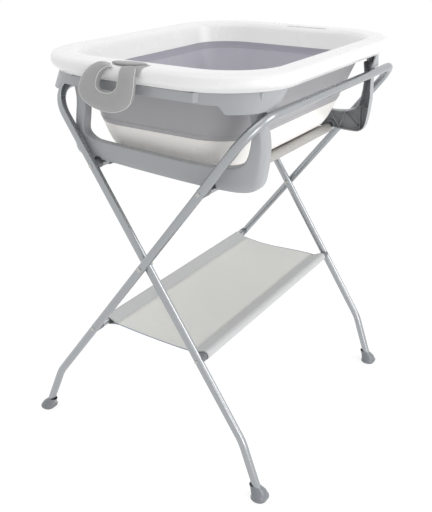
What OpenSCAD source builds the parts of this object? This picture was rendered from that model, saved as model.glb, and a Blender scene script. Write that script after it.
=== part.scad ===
// Foldable baby bath and changing tub on a folding X-frame stand.
// Millimetres, +Z up. The origin lies on the floor, under the middle of the whole object.
// X runs along the tub, and the front of the stand faces -Y.

/* [Stand] */
// Outer diameter of the stand's steel tube
tube_d = 19; // [16:0.5:22]
// Wall of the stand's steel tube
tube_wall = 1.2; // [1:0.1:2]
// Distance between the outer frame's legs, centre to centre
outer_span = 739; // [700:1:860]
// Clear gap between an outer leg and the inner leg beside it
frame_gap = 2.4; // [2.4:0.1:6]
// Height of the pivot bolts above the floor
pivot_h = 499; // [450:1:600]
// Lean of each frame from upright, in degrees
frame_lean = 35.5; // [33:0.5:38]
// Distance from the pivot up to the top bar's centre line
top_reach = 428.5; // [428.5:0.5:480]
// Radius of the two bends of a top bar
top_bend_r = 65; // [50:1:80]
// Height of the lower bend of each leg
low_bend_h = 135; // [100:1:160]
// Radius of the lower bend
low_bend_r = 120; // [80:1:160]
// Lean of the leg below its lower bend, in degrees
foot_lean = 22.3; // [16:0.1:28]
// Distance from the pivot up to the sling bars
sling_reach = 244.4; // [230:0.5:252]
// Distance from the pivot down to the shelf bars
shelf_reach = 238.4; // [180:1:300]

/* [Stand fittings] */
// Diameter of the pivot bolts
pivot_bolt_d = 6; // [5:0.5:8]
// Diameter of the rivets that hold the cross bars
rivet_d = 5; // [4:0.5:6]
// Length of the plastic saddle at each end of a cross bar
bar_end_len = 12; // [8:1:18]
// Length of a foot pad along the stand
foot_len = 56; // [48:1:64]
// Width of a foot pad
foot_wid = 42; // [38:1:50]
// Height of a foot pad
foot_h = 36; // [32:1:44]

/* [Cloth] */
// Thickness of the shelf and sling cloth
cloth_t = 1.4; // [1:0.1:2]
// Length of the shelf cloth along the bars
shelf_len = 648; // [500:1:652]
// Length of the sling cloth along the bars
sling_len = 538; // [400:1:540]
// Sag of the shelf cloth in its middle
shelf_sag = 9; // [6:1:30]
// Sag of the sling cloth in its middle
sling_sag = 10; // [4:1:20]
// Offset of the sling cloth along the bars
sling_shift = -29; // [-30:1:-20]

/* [Tub rim] */
// Length of the tub over its rim
rim_len = 774; // [766:1:800]
// Width of the tub over its rim
rim_wid = 552; // [550:1:570]
// Height of the rim's top above the floor
rim_top = 925; // [924:1:935]
// Depth of the rim's outer lip
lip_h = 32; // [28:1:33]
// Width of the rim's top at the two ends
end_land = 73; // [70:1:78]
// Width of the rim's top along the two sides
side_land = 53; // [52:1:56]
// Radius of the rim's outer corners
rim_corner_r = 173; // [165:1:185]
// Radius of the mouth's corners
mouth_corner_r = 105; // [95:1:115]
// Wall of the rim moulding
rim_wall = 3.5; // [3:0.1:4]
// Depth of the rigid inner wall below the rim's top
inner_wall_h = 45; // [42:1:46]

/* [Tub body] */
// Height of the flexible band
band_h = 95; // [92:1:100]
// Inset of the band from top to bottom, along the tub
band_in_x = 24; // [20:1:30]
// Inset of the band from top to bottom, across the tub
band_in_y = 33; // [28:1:38]
// Wall of the flexible band
band_wall = 2.6; // [2:0.1:3]
// Height of the rigid bottom shell
shell_h = 68; // [60:1:70]
// Wall of the bottom shell
shell_wall = 3; // [2.5:0.1:4]
// Radius of the drain hole
drain_r = 21; // [16:0.5:26]
// Offset of the tub along the stand
tub_shift = -34; // [-36:1:-20]

/* [End skirts and tub legs] */
// Wall of the end skirts
skirt_wall = 3; // [2.5:0.1:4]
// Length of the skirt along each side, from the tub's end
skirt_run = 158; // [150:1:170]
// Height of the tub legs' hinge above the floor
hinge_h = 872; // [871:0.5:872.5]
// Outer face of each tub leg from the tub's middle
leg_plane = 302; // [300:1:302]
// Depth of a tub leg along the tub
leg_depth = 22; // [20:1:22]
// Reach of the tub legs' front arms from the tub's middle
arm_front = 232; // [228:1:232]
// Reach of the tub legs' back arms from the tub's middle
arm_back = 205; // [205:1:210]
// Inward slant of a tub leg's arm from its hinge to its foot
arm_slant = 4; // [2:1:8]
// Width of a tub leg's arm
leg_arm_w = 23; // [20:1:23]
// Height of a tub leg's cross piece
leg_cross_h = 45; // [36:1:50]
// Height of the tub legs' underside above the floor
leg_foot_h = 701; // [700:1:706]
// Diameter of the hinge pins
hinge_pin_d = 6; // [5:0.5:7]

/* [Head pad] */
// Width of the pad
pad_wid = 138; // [132:1:142]
// Height of the hanging part of the pad
pad_drop = 82; // [78:1:90]
// Thickness of the pad
pad_t = 20; // [14:1:24]
// Width of the opening in the pad
pad_open = 52; // [44:1:56]
// Offset of the pad from the middle of the tub's end
pad_y = 29.5; // [24:0.5:32]

/* [Hidden] */
$fn = 64;

// Running clearance of a pin in its hole, on the radius
run_fit = 0.06;
// Clearance between a part and the piece that it is pressed or slipped into
slip_fit = 0.1;
// Gap between parts that only rest beside each other
rest_gap = 0.3;
// Overshoot of cutting shapes
cut = 1;
// Thickness of the slices that the lofted shells are hulled from
slice = 0.02;

tube_r = tube_d / 2;
bore_r = tube_r - tube_wall;
outer_half = outer_span / 2;
inner_half = outer_half - tube_d - frame_gap;
kink = frame_lean - foot_lean;
low_bend_reach = (pivot_h - low_bend_h) / cos(frame_lean);
kink_tangent = low_bend_r * tan(kink / 2);
splice_reach = top_reach - top_bend_r - 8;
foot_y = (pivot_h - low_bend_h) * tan(frame_lean) + low_bend_h * tan(foot_lean);
foot_socket_h = 11;
foot_pad_t = 8;
foot_run = (low_bend_h - foot_socket_h) / cos(foot_lean) - kink_tangent;
sleeve_r = tube_r + rest_gap + cloth_t;
sling_h = pivot_h + sling_reach * cos(frame_lean);
sling_y = sling_reach * sin(frame_lean);
shelf_h = pivot_h - shelf_reach * cos(frame_lean);
shelf_y = shelf_reach * sin(frame_lean);
bar_top = pivot_h + top_reach * cos(frame_lean) + tube_r;

rim_hx = rim_len / 2;
rim_hy = rim_wid / 2;
lip_bottom = rim_top - lip_h;
lip_in = 15;
lip_hx = rim_hx - lip_in;
lip_hy = rim_hy - lip_in;
lip_r = rim_corner_r - lip_in;
belly_z = rim_top - 19;
wall_bottom = rim_top - inner_wall_h;
mouth_hx = rim_hx - end_land;
mouth_hy = rim_hy - side_land;
wall_hx = mouth_hx - 7;
wall_hy = mouth_hy - 9;
band_top = wall_bottom - rest_gap;
band_bottom = band_top - band_h;
band_hx = wall_hx + rim_wall - 1;
band_hy = wall_hy + rim_wall - 1;
shell_hx = band_hx - band_in_x;
shell_hy = band_hy - band_in_y;
shell_r = mouth_corner_r - 13;
shell_top = band_bottom - rest_gap;
shell_bottom = band_bottom - shell_h;
skirt_hx = lip_hx - rim_wall - rest_gap;
skirt_hy = lip_hy - rim_wall - rest_gap;
skirt_r = lip_r - 4;
skirt_low_r = 83;
skirt_bottom = bar_top + rest_gap;
skirt_top = lip_bottom + 1;
web_z = lip_bottom - 4;
web_t = 3;
leg_mid = leg_plane - leg_depth / 2;
knuckle_r = 9;
knuckle_w = 9;
ear_t = 5;
ear_gap = 0.6;
board_t = 2.5;
grip_r = tube_r + 1.7;
grip_t = 2.2;
notch_r = grip_r + grip_t + slip_fit;

// The object's middle along X, from the reach of the pad end and the far foot
near_reach = rim_hx + pad_t + rest_gap - tub_shift;
far_reach = max(rim_hx + tub_shift, outer_half + foot_len / 2);
stand_x = (near_reach - far_reach) / 2;
tub_x = stand_x + tub_shift;

steel = "Silver";
grey_plastic = "#b9bcbe";
white_plastic = "White";
dark_grey = "#808488";

// ---- Stand ----

// Places children in the plane of one frame: Z runs up the leg, side is 1 outer, -1 inner
module in_frame(side) {
    translate([stand_x, 0, pivot_h])
        mirror([0, side > 0 ? 0 : 1, 0])
            rotate([frame_lean, 0, 0])
                children();
}

module ring(r_out, r_in) {
    difference() {
        circle(r_out);
        circle(r_in);
    }
}

module tube(len, r_out = tube_r, r_in = bore_r) {
    linear_extrude(len) ring(r_out, r_in);
}

// A bend that starts along +Z and turns towards +X
module tube_bend(r, ang) {
    translate([r, 0, 0])
        rotate([90, 0, 180])
            rotate_extrude(angle = ang, $fn = 96)
                translate([r, 0]) ring(tube_r, bore_r);
}

module after_bend(r, ang) {
    translate([r * (1 - cos(ang)), 0, r * sin(ang)])
        rotate([0, ang, 0])
            children();
}

module along_x(r, len) {
    rotate([0, 90, 0]) cylinder(r = r, h = len);
}

// Cross hole through both walls of a leg, at a reach along the frame
module leg_hole(half, end, reach, r) {
    translate([end * half - tube_d, 0, reach]) along_x(r, 2 * tube_d);
}

module leg(half, end) {
    straight = splice_reach + low_bend_reach - kink_tangent;
    difference() {
        translate([end * half, 0, splice_reach])
            rotate([180, 0, -90]) {
                tube(straight);
                translate([0, 0, straight]) {
                    tube_bend(low_bend_r, kink);
                    after_bend(low_bend_r, kink) tube(foot_run);
                }
            }
        leg_hole(half, end, 0, pivot_bolt_d / 2 + run_fit);
        leg_hole(half, end, sling_reach, rivet_d / 2 + run_fit);
        leg_hole(half, end, -shelf_reach, rivet_d / 2 + run_fit);
    }
}

module top_bar(half) {
    rise = top_reach - top_bend_r - splice_reach;
    width = 2 * (half - top_bend_r);
    translate([-half, 0, splice_reach]) {
        tube(rise);
        translate([0, 0, rise]) {
            tube_bend(top_bend_r, 90);
            after_bend(top_bend_r, 90) {
                tube(width);
                translate([0, 0, width]) {
                    tube_bend(top_bend_r, 90);
                    after_bend(top_bend_r, 90) tube(rise);
                }
            }
        }
    }
}

// Inner sleeves that join the legs to the top bar
module splices(half) {
    depth = 22;
    for (end = [-1, 1])
        translate([end * half, 0, splice_reach - depth])
            tube(depth + 8, bore_r - slip_fit, bore_r - slip_fit - 1.6);
}

// Half length of a cross bar's tube between its two end saddles
function bar_half(half) = half - tube_r - bar_end_len;

module cross_bar(half, reach) {
    translate([-bar_half(half), 0, reach])
        rotate([0, 90, 0]) tube(2 * bar_half(half));
}

// Plastic plug in each end of a bar, with a collar saddled to the leg
module bar_end(half, reach) {
    plug_len = 26;
    for (end = [0, 1])
        mirror([end, 0, 0])
            translate([bar_half(half), 0, reach])
                difference() {
                    union() {
                        along_x(tube_r + 0.8, bar_end_len + tube_r);
                        translate([-plug_len, 0, 0])
                            along_x(bore_r - slip_fit, plug_len + cut);
                    }
                    translate([bar_end_len + tube_r, 0, -tube_d])
                        cylinder(r = tube_r + slip_fit, h = 2 * tube_d);
                    translate([-plug_len - cut, 0, 0])
                        along_x(rivet_d / 2 + run_fit, plug_len + bar_end_len + tube_d);
                }
}

module bar_ends(half) {
    bar_end(half, sling_reach);
    bar_end(half, -shelf_reach);
}

// Dome-headed rivet lying along X with its head at x = 0
module rivet(shank_r, head_r, head_h, len) {
    along_x(shank_r, len);
    rotate([0, -90, 0])
        rotate_extrude()
            intersection() {
                square([head_r, head_h]);
                translate([0, head_h - 2.4 * head_r]) circle(2.4 * head_r, $fn = 160);
            }
}

module rivets(half) {
    grip = tube_d + bar_end_len + 18;
    for (reach = [sling_reach, -shelf_reach])
        for (end = [0, 1])
            mirror([end, 0, 0])
                translate([-half - tube_r - 0.1, 0, reach])
                    rivet(rivet_d / 2, rivet_d * 0.9, 2, grip);
}

// Bolts through both legs, with a hexagon nut on the inside
module bolts() {
    grip = 2 * tube_d + frame_gap;
    nut_h = 5;
    for (end = [0, 1])
        mirror([end, 0, 0])
            translate([-outer_half - tube_r - 0.1, 0, 0]) {
                rivet(pivot_bolt_d / 2, pivot_bolt_d * 0.95, 2.6, grip + nut_h + 2);
                translate([grip + 0.4, 0, 0])
                    rotate([0, 90, 0])
                        cylinder(r = pivot_bolt_d * 0.95, h = nut_h, $fn = 6);
            }
}

module spacers() {
    t = frame_gap - 2 * slip_fit;
    for (end = [0, 1])
        mirror([end, 0, 0])
            translate([-outer_half + tube_r + slip_fit, 0, 0])
                rotate([0, 90, 0])
                    tube(t, pivot_bolt_d + 1.5, pivot_bolt_d / 2 + run_fit);
}

// Hoof-shaped foot pad: stepped base ring, domed body and a leaning tube socket
module foot(half, end, side) {
    base_r = foot_wid / 2;
    spread = foot_len / 2 - base_r;
    translate([stand_x + end * half, side * foot_y, 0])
        difference() {
            union() {
                hull()
                    for (k = [-1, 1])
                        translate([k * spread, side * 2, 0])
                            cylinder(r1 = base_r - 1.5, r2 = base_r, h = foot_pad_t, $fn = 40);
                hull() {
                    for (k = [-1, 1])
                        translate([k * spread, side * 2, foot_pad_t])
                            cylinder(r = base_r - 2.5, h = 2, $fn = 36);
                    for (k = [-1, 1])
                        translate([k * spread * 0.8, side, foot_pad_t + 11])
                            cylinder(r = base_r - 6, h = 1, $fn = 32);
                    rotate([side * foot_lean, 0, 0])
                        translate([0, 0, foot_h - 6])
                            cylinder(r = tube_r + 3, h = 5, $fn = 32);
                }
            }
            rotate([side * foot_lean, 0, 0])
                translate([0, 0, foot_socket_h / cos(foot_lean) - 3.4])
                    cylinder(r = tube_r + slip_fit, h = 2 * foot_h);
        }
}

// ---- Cloth ----

// Cloth sewn into a sleeve round each of two bars, with a sagging web between them
module bar_cloth(bar_y, bar_h, len, sag) {
    r = (bar_y * bar_y + sag * sag) / (2 * sag);
    translate([stand_x - len / 2, 0, bar_h])
        rotate([90, 0, 90])
            linear_extrude(len) {
                for (side = [-1, 1])
                    translate([side * bar_y, 0])
                        ring(sleeve_r, tube_r + rest_gap);
                intersection() {
                    translate([0, r - sag])
                        ring(r + cloth_t / 2, r - cloth_t / 2, $fn = 400);
                    translate([-bar_y + sleeve_r - cloth_t / 2, -2 * sag])
                        square([2 * (bar_y - sleeve_r) + cloth_t, 4 * sag]);
                }
            }
}

// ---- Tub ----

module rounded(hx, hy, r) {
    square([2 * (hx - r), 2 * hy], center = true);
    square([2 * hx, 2 * (hy - r)], center = true);
    for (x = [-1, 1], y = [-1, 1])
        translate([x * (hx - r), y * (hy - r)]) circle(r, $fn = 96);
}

// One thin level of a lofted wall
module level(z, hx, hy, r) {
    translate([0, 0, z]) linear_extrude(slice) rounded(hx, hy, r);
}

// Outside of the rim, or its hollow when pulled in by a wall
module rim_body(in = 0) {
    hull() {
        level(lip_bottom - (in > 0 ? cut : 0), lip_hx - in, lip_hy - in, lip_r - in);
        level(belly_z, rim_hx - in, rim_hy - in, rim_corner_r - in);
        level(rim_top - 5 - in * 0.8, rim_hx - 6 - in, rim_hy - 6 - in, rim_corner_r - 6 - in);
        level(rim_top - in - slice, rim_hx - 17 - in, rim_hy - 17 - in, rim_corner_r - 17 - in);
    }
}

// Space inside the rim's inner wall and its flared edge, pushed out by a wall
module mouth(out = 0, over = 0) {
    flare_z = rim_top - 9;
    hull() {
        level(wall_bottom - over, wall_hx + out, wall_hy + out, mouth_corner_r + out - 2);
        level(flare_z, mouth_hx + out, mouth_hy + out, mouth_corner_r + out);
    }
    hull() {
        level(flare_z, mouth_hx + out, mouth_hy + out, mouth_corner_r + out);
        level(rim_top - slice + over, mouth_hx + out + 9, mouth_hy + out + 9,
              mouth_corner_r + out + 9);
    }
}

module rim() {
    boss_r = 6;
    translate([tub_x, 0, 0]) {
        difference() {
            union() {
                difference() {
                    rim_body();
                    rim_body(rim_wall);
                }
                mouth(rim_wall);
            }
            mouth(0, cut);
        }
        bosses() difference() {
            translate([0, 0, web_z + web_t + rest_gap])
                cylinder(r = boss_r, h = rim_top - rim_wall - web_z - web_t);
            translate([0, 0, web_z])
                cylinder(r = screw_r + run_fit, h = 20);
        }
    }
}

screw_r = 2;
boss_x = mouth_hx + 24;
boss_ys = [58, 160];

module bosses() {
    for (x = [-1, 1], y = [-1, 1], b = boss_ys)
        translate([x * boss_x, y * b, 0]) children();
}

// Skirt surface, pulled in by a wall
module skirt_body(in = 0) {
    drop = skirt_top - skirt_bottom;
    over = in > 0 ? cut : 0;
    hull() {
        level(skirt_bottom - over, skirt_hx - 10 - in, skirt_hy - 13 - in, skirt_low_r - in);
        level(skirt_top - slice + over, skirt_hx - in, skirt_hy - in, skirt_r - in);
    }
}

// Ears under the web that hold one arm's pin
module ears(y_low) {
    for (y = [y_low - ear_gap - ear_t, y_low + knuckle_w + ear_gap])
        translate([leg_mid, y, hinge_h]) {
            rotate([-90, 0, 0]) cylinder(r = 7, h = ear_t);
            translate([-7, 0, 0]) cube([14, ear_t, web_z + web_t / 2 - hinge_h]);
        }
}

// Mirrors the far end's build to the near end, and gives children the tub's place
module at_end(end) {
    translate([tub_x, 0, 0]) mirror([end < 0 ? 1 : 0, 0, 0]) children();
}

// Bores for both pins, through ears, knuckles and whatever lies beside them
module pin_bores() {
    reach = ear_gap + ear_t + cut;
    for (y = [-arm_front, arm_back - knuckle_w])
        translate([leg_mid, y - reach, hinge_h])
            rotate([-90, 0, 0])
                cylinder(d = hinge_pin_d + 2 * run_fit, h = knuckle_w + 2 * reach);
}

module skirt(end) {
    end_drop = 14;
    run = rim_hx - skirt_run;
    corner_y = 196;
    at_end(end)
        difference() {
            union() {
                difference() {
                    union() {
                        difference() {
                            skirt_body();
                            skirt_body(skirt_wall);
                        }
                        intersection() {
                            skirt_body();
                            difference() {
                                translate([run, -rim_hy, web_z]) cube([rim_hx, rim_wid, web_t]);
                                mouth(rim_wall + rest_gap, rim_wid);
                            }
                        }
                    }
                    // Slanted ends of the skirt along the tub's sides
                    translate([0, rim_hy, 0])
                        rotate([90, 0, 0])
                            linear_extrude(rim_wid)
                                polygon([[-rim_hx, 0], [run + 15, 0], [run + 15, skirt_bottom],
                                         [run, skirt_top + cut], [-rim_hx, skirt_top + cut]]);
                    // Raised lower edge across the end, between the two corner housings
                    translate([leg_plane, 0, 0])
                        rotate([90, 0, 90])
                            linear_extrude(rim_hx)
                                polygon([[-corner_y, skirt_bottom - cut],
                                         [-corner_y + end_drop, skirt_bottom + end_drop],
                                         [corner_y - end_drop, skirt_bottom + end_drop],
                                         [corner_y, skirt_bottom - cut]]);
                    // Screw holes through the web
                    bosses() translate([0, 0, web_z - cut])
                        cylinder(r = screw_r + run_fit, h = web_t + 2 * cut);
                }
                ears(-arm_front);
                ears(arm_back - knuckle_w);
                // Raised panel on the outside of the end
                difference() {
                    translate([skirt_hx - 12, 0, skirt_bottom + end_drop + 3])
                        linear_extrude(lip_bottom - skirt_bottom - end_drop - 4)
                            polygon([[0, -152], [14, -140], [14, 140], [0, 152]]);
                    skirt_body();
                }
            }
            pin_bores();
        }
}

module screws() {
    translate([tub_x, 0, 0])
        bosses() {
            translate([0, 0, web_z - 0.1]) cylinder(r = screw_r, h = 16);
            translate([0, 0, web_z - 2.3]) cylinder(r = 2 * screw_r, h = 2.2);
        }
}

// Pins of one tub leg, through the ears and the arm's knuckle
module pins(end) {
    over = ear_gap + ear_t - 0.5;
    at_end(end)
        for (y = [-arm_front, arm_back - knuckle_w])
            translate([leg_mid, y - over, hinge_h])
                rotate([-90, 0, 0])
                    cylinder(d = hinge_pin_d, h = knuckle_w + 2 * over);
}

// Outline of a tub leg seen along the tub, pulled in by a wall
module leg_outline(y0, y1, in) {
    r = 25;
    bottom = leg_foot_h + in;
    top = hinge_h - knuckle_r + 1;
    b0 = y0 + arm_slant + in;
    b1 = y1 - arm_slant - in;
    polygon([[y0 + in, top], [b0, bottom + r], [b0 + r, bottom],
             [b1 - r, bottom], [b1, bottom + r], [y1 - in, top]]);
    for (y = [b0 + r, b1 - r])
        translate([y, bottom + r]) circle(r);
}

// Open middle of a tub leg above its cross piece, grown by a wall
module leg_window(y0, y1, out) {
    low = leg_foot_h + leg_cross_h - out;
    a0 = y0 + leg_arm_w - out;
    a1 = y1 - leg_arm_w + out;
    c0 = a0 + arm_slant;
    c1 = a1 - arm_slant;
    polygon([[a0, hinge_h], [c0, low + 30], [c0 + 5, low + 19], [c0 + 34, low + 9], [c0 + 80, low],
             [c1 - 80, low], [c1 - 34, low + 9], [c1 - 5, low + 19], [c1, low + 30], [a1, hinge_h]]);
}

module leg_profile(y0, y1, in) {
    difference() {
        leg_outline(y0, y1, in);
        leg_window(y0, y1, in);
        for (y = [-sling_y, sling_y])
            translate([y, sling_h]) circle(notch_r + in);
    }
}

// Zigzag ribs of a cross piece and its arms
module leg_ribs(y0, y1) {
    rib = 1.8;
    pitch = 40;
    count = 10;
    low = leg_foot_h;
    high = leg_foot_h + leg_cross_h;
    for (k = [0 : count - 1]) {
        y = (k - count / 2) * pitch;
        polygon([[y, low], [y + rib, low], [y + pitch / 2 + rib, high], [y + pitch / 2, high]]);
        polygon([[y + pitch / 2, high], [y + pitch / 2 + rib, high],
                 [y + pitch + rib, low], [y + pitch, low]]);
    }
    for (k = [0 : 2]) {
        z = high - 20 + k * 36;
        for (y = [y0, y1 - leg_arm_w - arm_slant]) {
            w = leg_arm_w + arm_slant;
            polygon([[y, z], [y + w, z + 18], [y + w, z + 18 + rib], [y, z + rib]]);
            polygon([[y + w, z + 18], [y, z + 36], [y, z + 36 + rib], [y + w, z + 18 + rib]]);
        }
    }
}

module leg_board(end) {
    y0 = -arm_front;
    y1 = arm_back;
    at_end(end) {
        translate([leg_plane, 0, 0])
            rotate([90, 0, 90]) {
                translate([0, 0, -board_t]) linear_extrude(board_t) leg_profile(y0, y1, 0);
                translate([0, 0, -leg_depth])
                    linear_extrude(leg_depth - board_t / 2)
                        difference() {
                            leg_profile(y0, y1, 0);
                            leg_profile(y0, y1, board_t);
                        }
                translate([0, 0, -leg_depth + 3])
                    linear_extrude(leg_depth - 3 - board_t / 2)
                        intersection() {
                            leg_profile(y0, y1, board_t / 2);
                            leg_ribs(y0, y1);
                        }
            }
        difference() {
            for (y = [y0, y1 - knuckle_w])
                translate([leg_mid, y, hinge_h]) {
                    rotate([-90, 0, 0]) cylinder(r = knuckle_r, h = knuckle_w);
                    translate([-7, 0, -knuckle_r - 6]) cube([14, knuckle_w, knuckle_r + 6]);
                }
            pin_bores();
        }
    }
}

// Rubber liners of the two notches that straddle the sling bars
module grips(end) {
    at_end(end)
        for (y = [-sling_y, sling_y])
            translate([leg_plane - leg_depth, y, sling_h])
                rotate([90, 0, 90])
                    linear_extrude(leg_depth)
                        difference() {
                            ring(grip_r + grip_t, grip_r);
                            translate([-tube_d, -2 * tube_d])
                                square([2 * tube_d, 2 * tube_d + leg_foot_h - sling_h]);
                        }
}

module band_body(in, over) {
    hull() {
        level(band_bottom - over, shell_hx - in, shell_hy - in, shell_r - in);
        level(band_top - slice + over, band_hx - in, band_hy - in, mouth_corner_r - in);
    }
}

module band() {
    translate([tub_x, 0, 0])
        difference() {
            band_body(0, 0);
            band_body(band_wall, cut);
        }
}

module shell_body(in) {
    hull() {
        level(shell_top - slice + (in > 0 ? cut : 0), shell_hx - in, shell_hy - in, shell_r - in);
        level(shell_top - 44, shell_hx - 16 - in, shell_hy - 16 - in, shell_r - 8 - in);
        level(shell_bottom + 7 + in * 0.3, shell_hx - 24 - in, shell_hy - 26 - in, shell_r - 14 - in);
        level(shell_bottom + in, shell_hx - 40 - in, shell_hy - 43 - in, shell_r - 26 - in);
    }
}

drain_x = -150;

module shell() {
    translate([tub_x, 0, 0])
        difference() {
            shell_body(0);
            shell_body(shell_wall);
            translate([drain_x, 0, shell_bottom - cut])
                cylinder(r = drain_r, h = 2 * shell_wall);
        }
}

module at_drain() {
    translate([tub_x + drain_x, 0, shell_bottom]) children();
}

plug_r = drain_r - 6;
flange_t = 2;

module drain_seat() {
    rise = shell_wall + slip_fit;
    at_drain()
        difference() {
            union() {
                translate([0, 0, rise]) cylinder(r = drain_r + 5, h = flange_t);
                translate([0, 0, -8]) cylinder(r = drain_r - slip_fit, h = rise + 8 + flange_t / 2);
                // Nut under the floor
                translate([0, 0, -5]) cylinder(r = drain_r + 4, h = 5 - slip_fit, $fn = 8);
            }
            translate([0, 0, -9]) cylinder(r = plug_r, h = rise + 9 + flange_t + cut);
        }
}

module plug() {
    seat = shell_wall + slip_fit + flange_t;
    at_drain() {
        translate([0, 0, -4]) cylinder(r = plug_r - run_fit, h = seat + 4 + slip_fit);
        translate([0, 0, seat + slip_fit]) cylinder(r = plug_r + 4, h = flange_t);
        translate([0, 0, seat + slip_fit + flange_t]) cylinder(r = 5, h = 7);
    }
}

// ---- Head pad ----

tab_t = 4;
tab_top = rim_top + rest_gap + tab_t;

// Outline of the pad seen along the tub
module pad_outline() {
    r = min(pad_wid * 0.34, pad_drop / 2);
    top_r = 34;
    difference() {
        union() {
            for (y = [-1, 1])
                translate([y * (pad_wid / 2 - r), -pad_drop + r]) circle(r, $fn = 96);
            translate([-(pad_wid / 2 - r), -pad_drop]) square([pad_wid - 2 * r, r]);
            translate([-pad_wid / 2, -pad_drop + r]) square([pad_wid, pad_drop - r - top_r]);
            for (y = [-1, 1])
                translate([y * (pad_wid / 2 - top_r), -top_r]) circle(top_r, $fn = 96);
            translate([-(pad_wid / 2 - top_r), -pad_drop / 2])
                square([pad_wid - 2 * top_r, pad_drop / 2]);
        }
        translate([-5, -pad_drop * 0.15]) {
            circle(d = pad_open);
            translate([-pad_open / 2, 0]) square([pad_open, pad_drop]);
        }
    }
}

module pad() {
    x = tub_x - rim_hx - rest_gap;
    translate([x, pad_y, rim_top - 2])
        rotate([90, 0, -90])
            linear_extrude(pad_t) mirror([1, 0, 0]) pad_outline();
}

// Plate on the rim's top, with a strap over the edge that the pad hangs from
module tab() {
    r = 55;
    lift = 38;
    x = tub_x - rim_hx;
    translate([0, 0, rim_top + rest_gap]) {
        linear_extrude(tab_t) {
            intersection() {
                translate([x + 24 - lift, pad_y - 29]) circle(r);
                translate([x + 24 + lift, pad_y - 29]) circle(r);
            }
            translate([x - pad_t - rest_gap, pad_y - 60]) square([pad_t + 34, 22]);
        }
    }
}

module plate() {
    translate([tub_x + mouth_hx + 11, -88, rim_top + rest_gap])
        linear_extrude(1.2)
            square([40, 104]);
}

// ---- Parts ----

module outer_top_bar() { color(steel) in_frame(1) top_bar(outer_half); }
module outer_leg_left() { color(steel) in_frame(1) leg(outer_half, -1); }
module outer_leg_right() { color(steel) in_frame(1) leg(outer_half, 1); }
module outer_sling_bar() { color(steel) in_frame(1) cross_bar(outer_half, sling_reach); }
module outer_shelf_bar() { color(steel) in_frame(1) cross_bar(outer_half, -shelf_reach); }
module outer_bar_ends() { color(dark_grey) in_frame(1) bar_ends(outer_half); }
module outer_splices() { color(steel) in_frame(1) splices(outer_half); }
module outer_rivets() { color(steel) in_frame(1) rivets(outer_half); }
module outer_foot_left() { color(dark_grey) foot(outer_half, -1, 1); }
module outer_foot_right() { color(dark_grey) foot(outer_half, 1, 1); }
module pivot_bolts() { color(steel) in_frame(1) bolts(); }
module pivot_spacers() { color(dark_grey) in_frame(1) spacers(); }
module inner_top_bar() { color(steel) in_frame(-1) top_bar(inner_half); }
module inner_leg_left() { color(steel) in_frame(-1) leg(inner_half, -1); }
module inner_leg_right() { color(steel) in_frame(-1) leg(inner_half, 1); }
module inner_sling_bar() { color(steel) in_frame(-1) cross_bar(inner_half, sling_reach); }
module inner_shelf_bar() { color(steel) in_frame(-1) cross_bar(inner_half, -shelf_reach); }
module inner_bar_ends() { color(dark_grey) in_frame(-1) bar_ends(inner_half); }
module inner_splices() { color(steel) in_frame(-1) splices(inner_half); }
module inner_rivets() { color(steel) in_frame(-1) rivets(inner_half); }
module inner_foot_left() { color(dark_grey) foot(inner_half, -1, -1); }
module inner_foot_right() { color(dark_grey) foot(inner_half, 1, -1); }
module sling_cloth() {
    color("LightGrey") translate([sling_shift, 0, 0]) bar_cloth(sling_y, sling_h, sling_len, sling_sag);
}
module shelf_cloth() { color("LightGrey") bar_cloth(shelf_y, shelf_h, shelf_len, shelf_sag); }
module tub_rim() { color(white_plastic) rim(); }
module end_skirt_left() { color(grey_plastic) skirt(-1); }
module end_skirt_right() { color(grey_plastic) skirt(1); }
module skirt_screws() { color(steel) screws(); }
module leg_pins_left() { color(steel) pins(-1); }
module leg_pins_right() { color(steel) pins(1); }
module tub_leg_left() { color(grey_plastic) leg_board(-1); }
module tub_leg_right() { color(grey_plastic) leg_board(1); }
module leg_grips_left() { color("DimGrey") grips(-1); }
module leg_grips_right() { color("DimGrey") grips(1); }
module collapsible_band() { color("#9b9a9d") band(); }
module tub_bottom() { color(white_plastic) shell(); }
module drain_ring() { color(grey_plastic) drain_seat(); }
module drain_plug() { color(dark_grey) plug(); }
module head_pad() { color("#9a9a9a") pad(); }
module pad_tab() { color("#9a9a9a") tab(); }
module rim_plate() { color(white_plastic) plate(); }

outer_top_bar();
outer_leg_left();
outer_leg_right();
outer_sling_bar();
outer_shelf_bar();
outer_bar_ends();
outer_splices();
outer_rivets();
outer_foot_left();
outer_foot_right();
pivot_bolts();
pivot_spacers();
inner_top_bar();
inner_leg_left();
inner_leg_right();
inner_sling_bar();
inner_shelf_bar();
inner_bar_ends();
inner_splices();
inner_rivets();
inner_foot_left();
inner_foot_right();
sling_cloth();
shelf_cloth();
tub_rim();
end_skirt_left();
end_skirt_right();
skirt_screws();
leg_pins_left();
leg_pins_right();
tub_leg_left();
tub_leg_right();
leg_grips_left();
leg_grips_right();
collapsible_band();
tub_bottom();
drain_ring();
drain_plug();
head_pad();
pad_tab();
rim_plate();
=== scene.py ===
"""A foldable baby bath on a folding X-frame stand, dressed for looks round the CAD frame."""
import math

import bmesh
import bpy
import numpy as np
from mathutils import Matrix, Vector


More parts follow.
